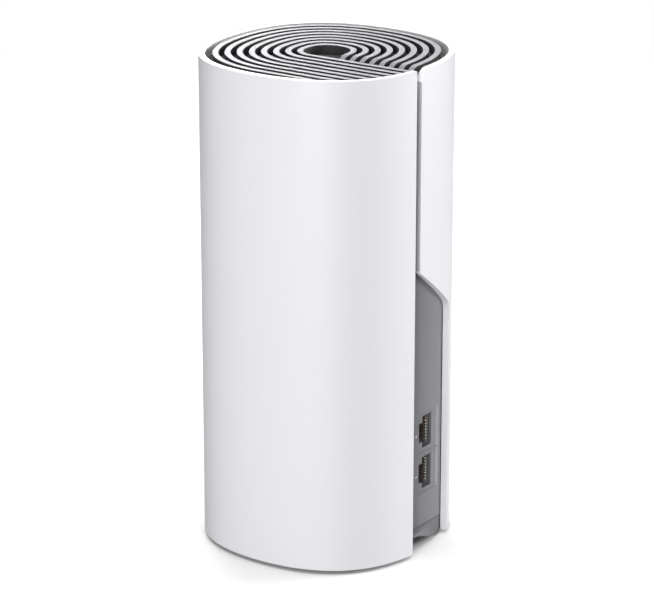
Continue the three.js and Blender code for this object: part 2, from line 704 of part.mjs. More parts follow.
// Each lead starts on the board face (side) and board edge (end) nearest to its antenna.
function leadCorner(degrees) {
  return {
    side: Math.cos(degrees * DEG) > 0 ? 1 : -1,
    end: Math.sin(degrees * DEG) > 0 ? 1 : -1,
  };
}

function antennaConnector({ side, end }) {
  const y = end * LEAD_START_Y;
  return boardPiece(side, GAP, CONNECTOR_HEIGHT, [y - CONNECTOR_HALF, y + CONNECTOR_HALF],
    [LEAD_START_Z - GAP - 2 * CONNECTOR_HALF, LEAD_START_Z - GAP]);
}

function antennaLead(degrees) {
  const { side, end } = leadCorner(degrees);
  const startX = (side > 0 ? BOARD_RIGHT_X : BOARD_LEFT_X) + side * (GAP + LEAD_RADIUS);
  const onBoard = (out, along, up) => new THREE.Vector3(
    startX + side * out, end * (LEAD_START_Y + along), LEAD_START_Z + up);
  const towards = (radius, z) => new THREE.Vector3(
    radius * Math.cos(degrees * DEG), radius * Math.sin(degrees * DEG), z);
  return rodAlong([
    onBoard(0, 0, 0),
    onBoard(0.4, 0.5, 3.5),
    onBoard(3, 2.5, 8),
    towards(24, 156),
    towards(31, 158.5),
    towards(34.4, 162),
    towards(35.8, 166),
    towards(36.1, 170),
  ], LEAD_RADIUS, 6);
}

// ---------- assembly ----------

function groupAt(x, y, z) {
  const group = new THREE.Group();
  group.position.set(x, y, z);
  return group;
}

function addPiece(group, name, solid, finish) {
  const mesh = new THREE.Mesh(toGeometry(solid), new THREE.MeshStandardMaterial(FINISH[finish]));
  mesh.name = name;
  group.add(mesh);
  return mesh;
}

function casing() {
  const group = new THREE.Group();
  addPiece(group, 'outer_shell', outerShell(), 'shell_white');
  addPiece(group, 'top_grille', topGrille(), 'rib_grey');
  addPiece(group, 'top_floor', topFloor(), 'dark_plastic');
  addPiece(group, 'inner_chassis', innerChassis(), 'dark_plastic');
  addPiece(group, 'rear_panel', rearPanel(), 'panel_grey');
  addPiece(group, 'base_moulding', baseMoulding(), 'panel_grey');
  addPiece(group, 'bottom_cover', bottomCover(), 'dark_plastic');
  addPiece(group, 'foot_ring', footRing(), 'rubber_black');
  addPiece(group, 'light_pipe', lightPipe(), 'lens_clear');
  addPiece(group, 'status_led', statusLed(), 'lens_clear');
  addPiece(group, 'base_board', baseBoard(), 'board_green');
  COVER_SCREWS.forEach(([x, y], i) => {
    const screw = addPiece(group, `cover_screw_${i + 1}`, coverScrew(), 'screw_steel');
    screw.position.set(x, y, 0);
  });
  return group;
}

function powerInlet() {
  const group = groupAt(INLET.x, 0, INLET.z);
  addPiece(group, 'dc_inlet_housing', dcHousing(), 'chip_black');
  addPiece(group, 'dc_centre_pin', dcCentrePin(), 'tin_steel');
  addPiece(group, 'dc_sleeve_contact', dcSleeveContact(), 'tin_steel');
  return group;
}

function resetAssembly() {
  const group = groupAt(BUTTON.x, BUTTON.y, 0);
  addPiece(group, 'reset_button', resetButton(), 'jack_plastic');
  addPiece(group, 'reset_spring', resetSpring(), 'screw_steel');
  addPiece(group, 'reset_switch', resetSwitch(), 'tin_steel');
  return group;
}

function networkJack(place, centreZ) {
  const group = groupAt(0, 0, centreZ);
  addPiece(group, `${place}_jack_shield`, jackShield(), 'tin_steel');
  addPiece(group, `${place}_jack_insulator`, jackInsulator(), 'jack_plastic');
  addPiece(group, `${place}_jack_contacts`, jackContacts(), 'contact_gold');
  return group;
}

function boardAssembly() {
  const group = new THREE.Group();
  const leftFace = groupAt(BOARD_LEFT_X, 0, 0);
  const rightFace = groupAt(BOARD_RIGHT_X, 0, 0);
  group.add(leftFace, rightFace);
  addPiece(group, 'main_board', mainBoard(), 'board_green');
  for (const [name, side, rise, thickness, spanY, spanZ, finish] of BOARD_PIECES) {
    addPiece(side < 0 ? leftFace : rightFace, name, boardPiece(side, rise, thickness, spanY, spanZ), finish);
  }
  addPiece(leftFace, 'heat_sink', heatSink(), 'sink_aluminium');
  addPiece(rightFace, 'heat_spreader', heatSpreader(), 'sink_aluminium');
  addPiece(rightFace, 'shield_can', shieldCan(), 'tin_steel');
  addPiece(rightFace, 'power_capacitor', powerCapacitor(), 'sink_aluminium');
  sinkScrewSpots.forEach(([y, z], i) => {
    const screw = addPiece(rightFace, `sink_screw_${i + 1}`, sinkScrew(), 'screw_steel');
    screw.position.set(0, y, z);
  });
  ANTENNA_ANGLES.forEach((angle, i) => {
    const corner = leadCorner(angle);
    const face = corner.side < 0 ? leftFace : rightFace;
    addPiece(face, `antenna_connector_${i + 1}`, antennaConnector(corner), 'contact_gold');
    addPiece(group, `antenna_lead_${i + 1}`, antennaLead(angle), 'lead_black');
    const board = addPiece(group, `antenna_board_${i + 1}`, antennaBoard(), 'board_green');
    board.rotation.z = angle * DEG;
  });
  return group;
}

const node = new THREE.Group();
node.name = 'mesh_wifi_node';
node.add(casing(), powerInlet(), resetAssembly(), boardAssembly());
node.add(networkJack('lower', JACK_LOW_Z), networkJack('upper', JACK_LOW_Z + JACK_PITCH));

export default node;
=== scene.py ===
"""Looks for the mesh wifi node: studio, camera, fine meshes and procedural materials.

Metres, +Z up, +Y out of the rear panel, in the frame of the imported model."""

import json
import math

import bmesh
import bpy
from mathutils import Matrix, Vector


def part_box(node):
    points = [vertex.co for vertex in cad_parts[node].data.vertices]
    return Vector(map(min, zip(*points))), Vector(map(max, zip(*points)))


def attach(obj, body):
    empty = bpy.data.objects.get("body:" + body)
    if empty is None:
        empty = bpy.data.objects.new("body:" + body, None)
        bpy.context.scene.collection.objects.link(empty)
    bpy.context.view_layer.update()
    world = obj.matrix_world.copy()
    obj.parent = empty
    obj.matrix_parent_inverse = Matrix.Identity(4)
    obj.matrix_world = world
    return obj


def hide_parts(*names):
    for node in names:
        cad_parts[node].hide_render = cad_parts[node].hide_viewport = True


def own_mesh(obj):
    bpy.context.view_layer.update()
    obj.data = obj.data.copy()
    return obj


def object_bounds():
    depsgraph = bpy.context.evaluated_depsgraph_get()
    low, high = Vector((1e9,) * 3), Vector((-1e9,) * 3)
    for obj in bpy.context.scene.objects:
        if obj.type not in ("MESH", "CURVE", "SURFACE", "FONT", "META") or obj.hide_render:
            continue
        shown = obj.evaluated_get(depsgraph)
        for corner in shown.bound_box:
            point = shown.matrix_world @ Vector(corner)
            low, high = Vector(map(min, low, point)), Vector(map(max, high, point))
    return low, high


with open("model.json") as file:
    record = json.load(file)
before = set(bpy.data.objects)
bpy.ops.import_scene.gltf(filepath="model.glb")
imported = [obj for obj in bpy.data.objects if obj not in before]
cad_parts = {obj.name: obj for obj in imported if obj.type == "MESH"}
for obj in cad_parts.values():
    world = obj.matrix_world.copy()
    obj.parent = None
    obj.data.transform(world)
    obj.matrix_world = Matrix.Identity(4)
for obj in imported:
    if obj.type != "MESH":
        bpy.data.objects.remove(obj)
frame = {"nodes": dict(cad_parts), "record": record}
cad_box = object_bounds()

MM = 0.001

# Plan of the tower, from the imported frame's own box.
SHELL_FLAT = (cad_box[1][0] - cad_box[0][0]) / 2
TOP_Z = cad_box[1][2]
SQUARENESS = 0.0255
PLAN_SIDES = 4

# Shell.
SHELL_WALL = 2.4 * MM
SHELL_BOTTOM_Z = 1.5 * MM
SEAM_X = 7.9 * MM
SEAM_END_X = 5.1 * MM
SEAM_FACE_SLACK = 0.4 * MM
SEAM_FACING = 0.9
ROLL_RADIUS = 5 * MM
CUTOUT_FAR_X = -20 * MM
CUTOUT_HIGH_Z = 113 * MM
CUTOUT_LOW_Z = 94 * MM
CUTOUT_END_RADIUS = 4 * MM
CUTOUT_FAR_RADIUS = 7 * MM
SHELL_EDGE = 0.25 * MM
SHELL_COLUMNS = 150
LOW_ROWS = 16
HIGH_ROWS = 26
CORNER_STEPS = 10
ROLL_STATIONS = 10
SLOPE_STATIONS = 16
STATION_GAP = 0.05 * MM
STATION_DIGITS = 7

# Status light window, low on the front of the shell.
WINDOW_Z = 12.5 * MM
WINDOW_RADIUS = 1.4 * MM
WINDOW_CELL = 2 * MM
WINDOW_CELLS = 2
WINDOW_STEPS = range(-WINDOW_CELLS, WINDOW_CELLS + 1)
WINDOW_CLEAR_CELLS = 2.6
WINDOW_RINGS = (1, 0.55, 0.2, 0)

# Grille ribs.
RIB_COUNT = 8
RIB_WIDTH = 2.11 * MM
RIB_PITCH = 4.266 * MM
RIB_OUTER_FLAT = 40.36 * MM
RIB_EDGE = 0.14 * MM
RIB_BOTTOM_Z = 186.7 * MM
RIB_MIN_HEIGHT = 0.1 * MM
RIB_CORNERS = 4
RIB_BASE_STEPS = 40
RIB_ROLL_STEPS = 8
RIB_TOP_TILT = 0.05
WALL_CLEARANCE = 0.3 * MM

# Network sockets and the marks beside them.
SOCKET_Z = (28.3 * MM, 44.9 * MM)
PANEL_FACE_Y = 39.5 * MM
CONTACT_COUNT = 8
CONTACT_PITCH = 1.2 * MM
CONTACT_RADIUS = 0.24 * MM
CONTACT_SEAT_X = -13.1 * MM
CONTACT_BOW_X = -12.5 * MM
CONTACT_BACK_Y = 24 * MM
CONTACT_RISE_Y = 27 * MM
CONTACT_TIP_Y = 37.4 * MM
CONTACT_BEAD = 0.33 * MM
BEAD_STATIONS = (0.15, 0.4, 0.7, 1, 1.3, 1.6, 1.85, 1.98)
BOW_STEPS = 5
BOW_TURN = 0.62
WIRE_SIDES = 10
BEZEL_FLOOR_Y = 38.7 * MM
BEZEL_MARGIN = 0.1 * MM
MARK_X = -2.1 * MM
MARK_RISE = 0.35 * MM
MARK_REACH = 0.75 * MM
MARK_TAIL = 0.6
MARK_RADIUS = 0.14 * MM
MARK_SIDES = 8

# Reset button's spring, under the base.
SPRING_TURNS = 3
SPRING_STEPS_PER_TURN = 24
SPRING_WIRE = 0.28 * MM

# Camera at the photo's viewing angle, aimed slightly down.
LENS_MM = 164.26
SENSOR_MM = 36
CAMERA_AZIMUTH = 34.6
CAMERA_DISTANCE = 1.076
CAMERA_HEIGHT = 0.451
CAMERA_PITCH = 18.37
CLIP_START = 0.01

# Studio: lights (name, turn from the camera's side in degrees, height, watts) and the paper floor.
LIGHTS = [
    ("front", -19, 0.28, 15.3),
    ("right_rear", 106, 0.35, 19.3),
    ("left_rear", -166, 0.35, 18),
]
RECESS_LIGHTS = [
    ("recess_graze", -14, 0.4, 32),
    ("recess_even", 45, 0.4, 8),
]
LAMP_DISTANCE = 1.3
LAMP_SIZE = (0.6, 0.9)
LAMP_AIM_Z = 0.1
RECESS_LAMP_SIZE = (0.6, 0.5)
RECESS_AIM_Z = 0.06
OVERHEAD_POWER = 23
OVERHEAD_SIZE = 1.6
OVERHEAD_Z = 1.6
FLOOR_HALF = 6
FLOOR_BOUNCE = 0.21
PAPER_FADE = (0.35, 0.8)
SKY_LEVEL = 0.06
HORIZON_TOP = 0.08
HORIZON_FADE = 1.6

# Edges and tolerances.
CAD_EDGE_SEGMENTS = 2
CAD_EDGE_ANGLE = 30
FINE_EDGE_SEGMENTS = 3
FINE_EDGE_ANGLE = 50
FLAT_ANGLE = 0.5
WELD_DISTANCE = 0.001 * MM
MERGE_DISTANCE = 0.002 * MM
TOUCH = 0.01 * MM

# Grain of the plastics and metals.
FINE_DETAIL = 3
BROAD_SCALE = 18
BROAD_DETAIL = 4
TONE_STOPS = (0.3, 0.7)
GLOSS_SWING = 0.04
GRAIN_DEPTH = 0.1 * MM
SCRATCH_STRETCH = (40, 40, 900)
SCRATCH_SCALE = 20
METAL_BUMP = 0.03
METAL_SPREAD = 0.06

FULL_TURN = 2 * math.pi
BISECTIONS = 50


# ---------- plan curves ----------

def plan_point(flat, angle):
    radius = flat * (1 - SQUARENESS * math.cos(PLAN_SIDES * angle)) / (1 - SQUARENESS)
    return radius * math.cos(angle), radius * math.sin(angle)


def angle_at_x(flat, x):
    """Angle on the rear half at which a plan curve reaches x."""
    low, high = 0.0, math.pi
    for _ in range(BISECTIONS):
        middle = (low + high) / 2
        if plan_point(flat, middle)[0] > x:
            low = middle
        else:
            high = middle
    return low


# ---------- mesh helpers ----------

def mesh_from(name, points, faces):
    data = bpy.data.meshes.new(name)
    data.from_pydata(points, [], faces)
    data.update()
    for polygon in data.polygons:
        polygon.use_smooth = True
    obj = bpy.data.objects.new(name, data)
    bpy.context.collection.objects.link(obj)
    return obj


def add_bevel(obj, width, segments, angle):
    bevel = obj.modifiers.new("edge", "BEVEL")
    bevel.width = width
    bevel.segments = segments
    bevel.limit_method = "ANGLE"
    bevel.angle_limit = math.radians(angle)
    bevel.harden_normals = True
    return bevel


def soften(obj, width):
    """Rounds a CAD piece's edges with modifiers; its own mesh stays as it is."""
    weld = obj.modifiers.new("weld", "WELD")
    weld.merge_threshold = WELD_DISTANCE
    flats = obj.modifiers.new("flats", "DECIMATE")
    flats.decimate_type = "DISSOLVE"
    flats.angle_limit = math.radians(FLAT_ANGLE)
    add_bevel(obj, width, CAD_EDGE_SEGMENTS, CAD_EDGE_ANGLE)


# ---------- materials ----------

def set_input(shader, name, value):
    shader.inputs[name].default_value = value


def plastic(name, color, roughness, grain=900, bump=0.02, spread=0.03, specular=0.5, coat=0.0):
    """Moulded plastic: fine spark-eroded grain in the bump, slight tone and gloss changes."""
    material = bpy.data.materials.new(name)
    material.use_nodes = True
    nodes, links = material.node_tree.nodes, material.node_tree.links
    shader = nodes["Principled BSDF"]
    set_input(shader, "Specular IOR Level", specular)
    set_input(shader, "Coat Weight", coat)
    place = nodes.new("ShaderNodeTexCoord")
    fine = nodes.new("ShaderNodeTexNoise")
    fine.inputs["Scale"].default_value = grain
    fine.inputs["Detail"].default_value = FINE_DETAIL
    broad = nodes.new("ShaderNodeTexNoise")
    broad.inputs["Scale"].default_value = BROAD_SCALE
    broad.inputs["Detail"].default_value = BROAD_DETAIL
    links.new(place.outputs["Object"], fine.inputs["Vector"])
    links.new(place.outputs["Object"], broad.inputs["Vector"])
    tone = nodes.new("ShaderNodeValToRGB")
    low, high = tone.color_ramp.elements
    low.position, high.position = TONE_STOPS
    low.color = [c * (1 - spread) for c in color] + [1]
    high.color = [min(1, c * (1 + spread)) for c in color] + [1]
    links.new(broad.outputs["Fac"], tone.inputs["Fac"])
    links.new(tone.outputs["Color"], shader.inputs["Base Color"])
    gloss = nodes.new("ShaderNodeMapRange")
    gloss.inputs["To Min"].default_value = roughness - GLOSS_SWING
    gloss.inputs["To Max"].default_value = roughness + GLOSS_SWING
    links.new(fine.outputs["Fac"], gloss.inputs["Value"])
    links.new(gloss.outputs["Result"], shader.inputs["Roughness"])
    relief = nodes.new("ShaderNodeBump")
    relief.inputs["Strength"].default_value = bump
    relief.inputs["Distance"].default_value = GRAIN_DEPTH
    links.new(fine.outputs["Fac"], relief.inputs["Height"])
    links.new(relief.outputs["Normal"], shader.inputs["Normal"])
    return material


def paint_shade_behind(material, y, color):
    """Paints shade on what lies behind a plane across Y, which is only the socket mouths' walls: a darker
    tone for the shade inside the mouths.
    """
    nodes, links = material.node_tree.nodes, material.node_tree.links
    parts = nodes.new("ShaderNodeSeparateXYZ")
    links.new(nodes["Texture Coordinate"].outputs["Object"], parts.inputs["Vector"])
    behind = nodes.new("ShaderNodeMath")
    behind.operation = "LESS_THAN"
    behind.inputs[1].default_value = y
    links.new(parts.outputs["Y"], behind.inputs[0])
    pick = nodes.new("ShaderNodeMix")
    pick.data_type = "RGBA"
    pick.inputs["B"].default_value = (*color, 1)
    links.new(behind.outputs["Value"], pick.inputs["Factor"])
    links.new(nodes["Color Ramp"].outputs["Color"], pick.inputs["A"])
    links.new(pick.outputs["Result"], nodes["Principled BSDF"].inputs["Base Color"])


def metal(name, color, roughness):
    """Metal with fine drawn marks along one axis."""
    material = plastic(name, color, roughness, grain=SCRATCH_SCALE, bump=METAL_BUMP, spread=METAL_SPREAD)
    nodes, links = material.node_tree.nodes, material.node_tree.links
    set_input(nodes["Principled BSDF"], "Metallic", 1.0)
    place = nodes["Texture Coordinate"]
    stretch = nodes.new("ShaderNodeMapping")
    stretch.inputs["Scale"].default_value = SCRATCH_STRETCH
    fine = nodes["Noise Texture"]
    links.new(place.outputs["Object"], stretch.inputs["Vector"])
    links.new(stretch.outputs["Vector"], fine.inputs["Vector"])
    return material


# ---------- outer shell ----------

def rounded_path(corners):
    """Open path through (x, z, radius) corners, each rounded by a tangent arc."""
    path = []
    for i, (x, z, radius) in enumerate(corners):
        if not radius:
            path.append((x, z))
            continue
        here = Vector((x, z))
        back = (Vector(corners[i - 1][:2]) - here).normalized()
        ahead = (Vector(corners[i + 1][:2]) - here).normalized()
        half = back.angle(ahead) / 2
        start = here + back * radius / math.tan(half)
        centre = here + (back + ahead).normalized() * radius / math.sin(half)
        spoke = start - centre
        end = here + ahead * radius / math.tan(half)
        turn = spoke.angle_signed(end - centre)
        for k in range(CORNER_STEPS + 1):
            angle = -turn * k / CORNER_STEPS
            point = centre + Vector((
                spoke.x * math.cos(angle) - spoke.y * math.sin(angle),
                spoke.x * math.sin(angle) + spoke.y * math.cos(angle)))
            path.append((point.x, point.y))
    return path


def roll_top(x):
    """Height of the rim where the seam end rolls over."""
    into = x - (SEAM_END_X - ROLL_RADIUS)
    if into <= 0:
        return TOP_Z
    return TOP_Z - ROLL_RADIUS + math.sqrt(max(ROLL_RADIUS ** 2 - into ** 2, 0))


def shell_columns(cut):
    """Columns (x, y, heights) from the free edge round the front, then over the cut-out to the seam."""
    arch_z = cut[0][1]
    window = [WINDOW_Z + WINDOW_CELL * k for k in WINDOW_STEPS]
    above = window[-1]
    low = [SHELL_BOTTOM_Z, (SHELL_BOTTOM_Z + window[0]) / 2, *window]
    low += [above + (arch_z - above) * k / LOW_ROWS for k in range(1, LOW_ROWS)]
    high = [arch_z + (TOP_Z - arch_z) * k / HIGH_ROWS for k in range(HIGH_ROWS + 1)]
    start = angle_at_x(SHELL_FLAT, SEAM_X)
    sweep = start + FULL_TURN - angle_at_x(SHELL_FLAT, CUTOUT_FAR_X)
    angles = [start - sweep * i / SHELL_COLUMNS for i in range(SHELL_COLUMNS + 1)]
    angles = [angle for angle in angles if not beside_window(angle)]
    angles += [-angle_at_x(SHELL_FLAT, WINDOW_CELL * k) for k in WINDOW_STEPS]
    columns = [(*plan_point(SHELL_FLAT, angle), low + high) for angle in sorted(angles, reverse=True)]
    over = []
    for x in cutout_stations(cut):
        bottom, top = height_on(cut, x), roll_top(x)
        heights = [bottom + (top - bottom) * k / HIGH_ROWS for k in range(HIGH_ROWS + 1)]
        over.append((*plan_point(SHELL_FLAT, angle_at_x(SHELL_FLAT, x)), heights))
    return columns, over


def beside_window(angle):
    """True for the even columns near the window, which has columns of its own."""
    x, y = plan_point(SHELL_FLAT, angle)
    return y < 0 and abs(x) < WINDOW_CLEAR_CELLS * WINDOW_CELL


def cutout_stations(cut):
    """X places over the cut-out: along both its arcs and round the rolled seam end."""
    roll_start = SEAM_END_X - ROLL_RADIUS
    stations = {round(x, STATION_DIGITS) for x, _ in cut}
    for k in range(ROLL_STATIONS + 1):
        turn = k * math.pi / (2 * ROLL_STATIONS)
        stations.add(round(roll_start + ROLL_RADIUS * math.sin(turn), STATION_DIGITS))
    for k in range(1, SLOPE_STATIONS):
        x = CUTOUT_FAR_X + (roll_start - CUTOUT_FAR_X) * k / SLOPE_STATIONS
        stations.add(round(x, STATION_DIGITS))
    kept = []
    for x in sorted(stations):
        after = kept[-1] if kept else CUTOUT_FAR_X
        if x - after > STATION_GAP:
            kept.append(x)
    return kept


def shell_grid(columns, over):
    """Quads between neighbouring columns; over the cut-out only the upper rows carry on."""
    points, faces, index = [], [], []
    for x, y, heights in columns + over:
        index.append(range(len(points), len(points) + len(heights)))
        points.extend((x, y, z) for z in heights)
    for i in range(len(index) - 1):
        tall = i + 1 < len(columns)
        left = index[i] if tall else index[i][-(HIGH_ROWS + 1):]
        right = index[i + 1]
        for k in range(len(right) - 1):
            if not (tall and in_window(points[left[k]], points[right[k + 1]])):
                faces.append((left[k], left[k + 1], right[k + 1], right[k]))
    return points, faces


def in_window(corner, opposite):
    """True for the grid cells that the round window and its frame take up."""
    x, y = (corner[0] + opposite[0]) / 2, (corner[1] + opposite[1]) / 2
    z = (corner[2] + opposite[2]) / 2
    reach = WINDOW_CELLS * WINDOW_CELL
    return y < 0 and abs(x) < reach and abs(z - WINDOW_Z) < reach


def window_frame(points, faces):
    """Rings of quads from the square hole in the grid in to the round window."""
    end = WINDOW_CELLS
    walk = range(-end, end)
    steps = [(-end, k) for k in walk] + [(k, end) for k in walk]
    steps += [(end, -k) for k in walk] + [(-k, -end) for k in walk]
    rings = []
    for share in WINDOW_RINGS:
        ring = []
        for a, b in steps:
            turn = math.atan2(b, a)
            x = share * a * WINDOW_CELL + (1 - share) * WINDOW_RADIUS * math.cos(turn)
            z = share * b * WINDOW_CELL + (1 - share) * WINDOW_RADIUS * math.sin(turn)
            ring.append(len(points))
            points.append((x, -plan_point(SHELL_FLAT, angle_at_x(SHELL_FLAT, x))[1], z + WINDOW_Z))
        rings.append(ring)
    for outer, inner in zip(rings, rings[1:]):
        for k, here in enumerate(outer):
            after = (k + 1) % len(outer)
            faces.append((here, outer[after], inner[after], inner[k]))


def outer_shell():
    """A sheet of quads over the outer face, thickened inwards, with rounded edges."""
    cut = rounded_path([
        (CUTOUT_FAR_X, 0, 0),
        (CUTOUT_FAR_X, CUTOUT_LOW_Z, CUTOUT_FAR_RADIUS),
        (SEAM_END_X, CUTOUT_HIGH_Z, CUTOUT_END_RADIUS),
        (SEAM_END_X, TOP_Z, 0),
    ])
    columns, over = shell_columns(cut[1:-1])
    points, faces = shell_grid(columns, over)
    window_frame(points, faces)
    shell = mesh_from("outer_shell_skin", points, faces)
    merge_points(shell)
    shell.data.materials.append(FINISHES["shell_white"])
    shell.data.materials.append(INNER_PAINTED_SHADE)
    wall = shell.modifiers.new("wall", "SOLIDIFY")
    wall.thickness = SHELL_WALL
    wall.offset = -1
    wall.use_even_offset = True
    # Inner faces take a darker copy of the white: painted shade for the inside of the wall.
    wall.material_offset = 1
    paint_seam_shade(shell)
    add_bevel(shell, SHELL_EDGE, FINE_EDGE_SEGMENTS, FINE_EDGE_ANGLE)
    return shell


def paint_seam_shade(shell):
    """Applies the wall's modifier, and gives the seam end's face below the roll a painted grey shade, for
    the shadow the near shell casts there.
    """
    graph = bpy.context.evaluated_depsgraph_get()
    thick = bpy.data.meshes.new_from_object(shell.evaluated_get(graph))
    shell.modifiers.clear()
    shell.data = thick
    shell.data.materials.append(SEAM_PAINTED_SHADE)
    seam_shade_index = len(thick.materials) - 1
    for polygon in thick.polygons:
        centre = polygon.center
        low = centre.z < TOP_Z - ROLL_RADIUS
        on_end = abs(centre.x - SEAM_END_X) < SEAM_FACE_SLACK and centre.y > 0
        if on_end and low and polygon.normal.x > SEAM_FACING:
            polygon.material_index = seam_shade_index


def merge_points(obj):
    """Joins points that coincide, drops loose ones and turns every face outwards."""
    work = bmesh.new()
    work.from_mesh(obj.data)
    bmesh.ops.remove_doubles(work, verts=work.verts, dist=MERGE_DISTANCE)
    bmesh.ops.delete(work, geom=[v for v in work.verts if not v.link_faces], context="VERTS")
    bmesh.ops.recalc_face_normals(work, faces=work.faces)
    sample = max(work.faces, key=lambda face: face.calc_center_median().y)
    if sample.normal.y < 0:
        bmesh.ops.reverse_faces(work, faces=work.faces)
    work.to_mesh(obj.data)
    work.free()
    for polygon in obj.data.polygons:
        polygon.use_smooth = True


def height_on(path, x):
    """Height of a left-to-right path at x."""
    best = path[0][1]
    for (xa, za), (xb, zb) in zip(path, path[1:]):
        if xa <= x <= xb and xb > xa:
            return za + (zb - za) * (x - xa) / (xb - xa)
        if x > xb:
            best = zb
    return best


# ---------- top grille ----------

def rib_stations(flat):
    """Plan points of one side of a rib, from its rolled end round to the shell's wall."""
    start = angle_at_x(flat, SEAM_END_X)
    steps = int(RIB_BASE_STEPS + flat / MM)
    ring = []
    roll_from = angle_at_x(flat, SEAM_END_X - ROLL_RADIUS)
    for k in range(RIB_ROLL_STEPS + 1):
        ring.append(plan_point(flat, start + (roll_from - start) * k / RIB_ROLL_STEPS))
    for k in range(1, steps + 1):
        ring.append(plan_point(flat, roll_from + (FULL_TURN - roll_from) * k / steps))
    inner_wall = SHELL_FLAT - SHELL_WALL - WALL_CLEARANCE
    ring.append(plan_point(inner_wall, angle_at_x(inner_wall, flat)))
    return ring


def rib_top(x, y):
    if y > 0 and SEAM_END_X - ROLL_RADIUS < x <= SEAM_END_X + TOUCH:
        return max(roll_top(min(x, SEAM_END_X)), RIB_BOTTOM_Z + RIB_MIN_HEIGHT)
    return TOP_Z


def top_grille():
    """The ribs, light on top and painted dark down their sides: a painted shade for the shade of the gaps
    they sit in.
    """
    points, faces = [], []
    for i in range(RIB_COUNT):
        outer = rib_stations(RIB_OUTER_FLAT - i * RIB_PITCH)
        inner = rib_stations(RIB_OUTER_FLAT - i * RIB_PITCH - RIB_WIDTH)
        count = min(len(outer), len(inner))
        outer = outer[:count - 1] + outer[-1:]
        inner = inner[:count - 1] + inner[-1:]
        base = len(points)
        for (ox, oy), (nx, ny) in zip(outer, inner):
            points.append((ox, oy, RIB_BOTTOM_Z))
            points.append((ox, oy, rib_top(ox, oy)))
            points.append((nx, ny, rib_top(nx, ny)))
            points.append((nx, ny, RIB_BOTTOM_Z))
        for k in range(count - 1):
            a, b = base + RIB_CORNERS * k, base + RIB_CORNERS * (k + 1)
            for side in range(RIB_CORNERS):
                after = (side + 1) % RIB_CORNERS
                faces.append((a + side, a + after, b + after, b + side))
        faces.append((base + 3, base + 2, base + 1, base))
        last = base + RIB_CORNERS * (count - 1)
        faces.append((last, last + 1, last + 2, last + 3))
    grille = mesh_from("top_grille_ribs", points, faces)
    fix_normals(grille)
    grille.data.materials.append(FINISHES["rib_grey"])
    grille.data.materials.append(RIB_SIDE_PAINTED_SHADE)
    # Side faces take the near-black painted shade; the tops keep the rib grey.
    for polygon in grille.data.polygons:
        polygon.material_index = 0 if polygon.normal.z > RIB_TOP_TILT else 1
    edge = add_bevel(grille, RIB_EDGE, FINE_EDGE_SEGMENTS, FINE_EDGE_ANGLE)
    edge.material = 0
    return grille


def fix_normals(obj):
    work = bmesh.new()
    work.from_mesh(obj.data)
    bmesh.ops.recalc_face_normals(work, faces=work.faces)
    work.to_mesh(obj.data)
    work.free()


# ---------- sockets and marks ----------

def tube(points, faces, path, radius, sides):
    """Adds a closed round tube along a list of points; radius is one for all or one for each point."""
    rings = []
    widths = radius if isinstance(radius, list) else [radius] * len(path)
    for i, here in enumerate(path):
        ahead = (path[min(i + 1, len(path) - 1)] - path[max(i - 1, 0)]).normalized()
        if i == 0:
            side = ahead.orthogonal().normalized()
        else:
            side = (side - ahead * side.dot(ahead)).normalized()
        other = ahead.cross(side)
        ring = []
        for k in range(sides):
            turn = FULL_TURN * k / sides
            ring.append(len(points))
            points.append(here + (side * math.cos(turn) + other * math.sin(turn)) * widths[i])
        rings.append(ring)
    for left, right in zip(rings, rings[1:]):
        for k in range(sides):
            after = (k + 1) % sides
            faces.append((left[k], left[after], right[after], right[k]))
    faces.append(tuple(reversed(rings[0])))
    faces.append(tuple(rings[-1]))


def contact_path(z):
    """One spring contact: flat in the housing, then bowed out as it runs to where its bead starts."""
    bead_y = CONTACT_TIP_Y - 2 * CONTACT_BEAD
    path = [Vector((CONTACT_SEAT_X, CONTACT_BACK_Y, z)), Vector((CONTACT_SEAT_X, CONTACT_RISE_Y, z))]
    for k in range(1, BOW_STEPS + 1):
        share = k / BOW_STEPS
        bow = math.sin(share * math.pi * BOW_TURN)
        x = CONTACT_SEAT_X + (CONTACT_BOW_X - CONTACT_SEAT_X) * bow
        path.append(Vector((x, CONTACT_RISE_Y + (bead_y - CONTACT_RISE_Y) * share, z)))
    return path


def jack_contacts(name, centre_z):
    """Eight round wires, each ending at the mouth in a small bead of paler metal, which is a painted
    highlight.
    """
    points, faces = [], []
    for i in range(CONTACT_COUNT):
        z = centre_z + (i - (CONTACT_COUNT - 1) / 2) * CONTACT_PITCH
        path = contact_path(z)
        widths = [CONTACT_RADIUS] * len(path)
        end = path[-1]
        for share in BEAD_STATIONS:
            path.append(end + Vector((0, share * CONTACT_BEAD, 0)))
            least = CONTACT_RADIUS if share < 1 else 0
            widths.append(max(CONTACT_BEAD * math.sqrt(1 - (share - 1) ** 2), least))
        tube(points, faces, path, widths, WIRE_SIDES)
    contacts = mesh_from(name, points, faces)
    fix_normals(contacts)
    contacts.data.materials.append(FINISHES["contact_gold"])
    contacts.data.materials.append(BEAD_PAINTED_GLINT)
    # The beads take the paler metal of the painted highlight; the wires keep the gold.
    for polygon in contacts.data.polygons:
        polygon.material_index = 1 if polygon.center.y > CONTACT_TIP_Y - 2 * CONTACT_BEAD else 0
    return contacts


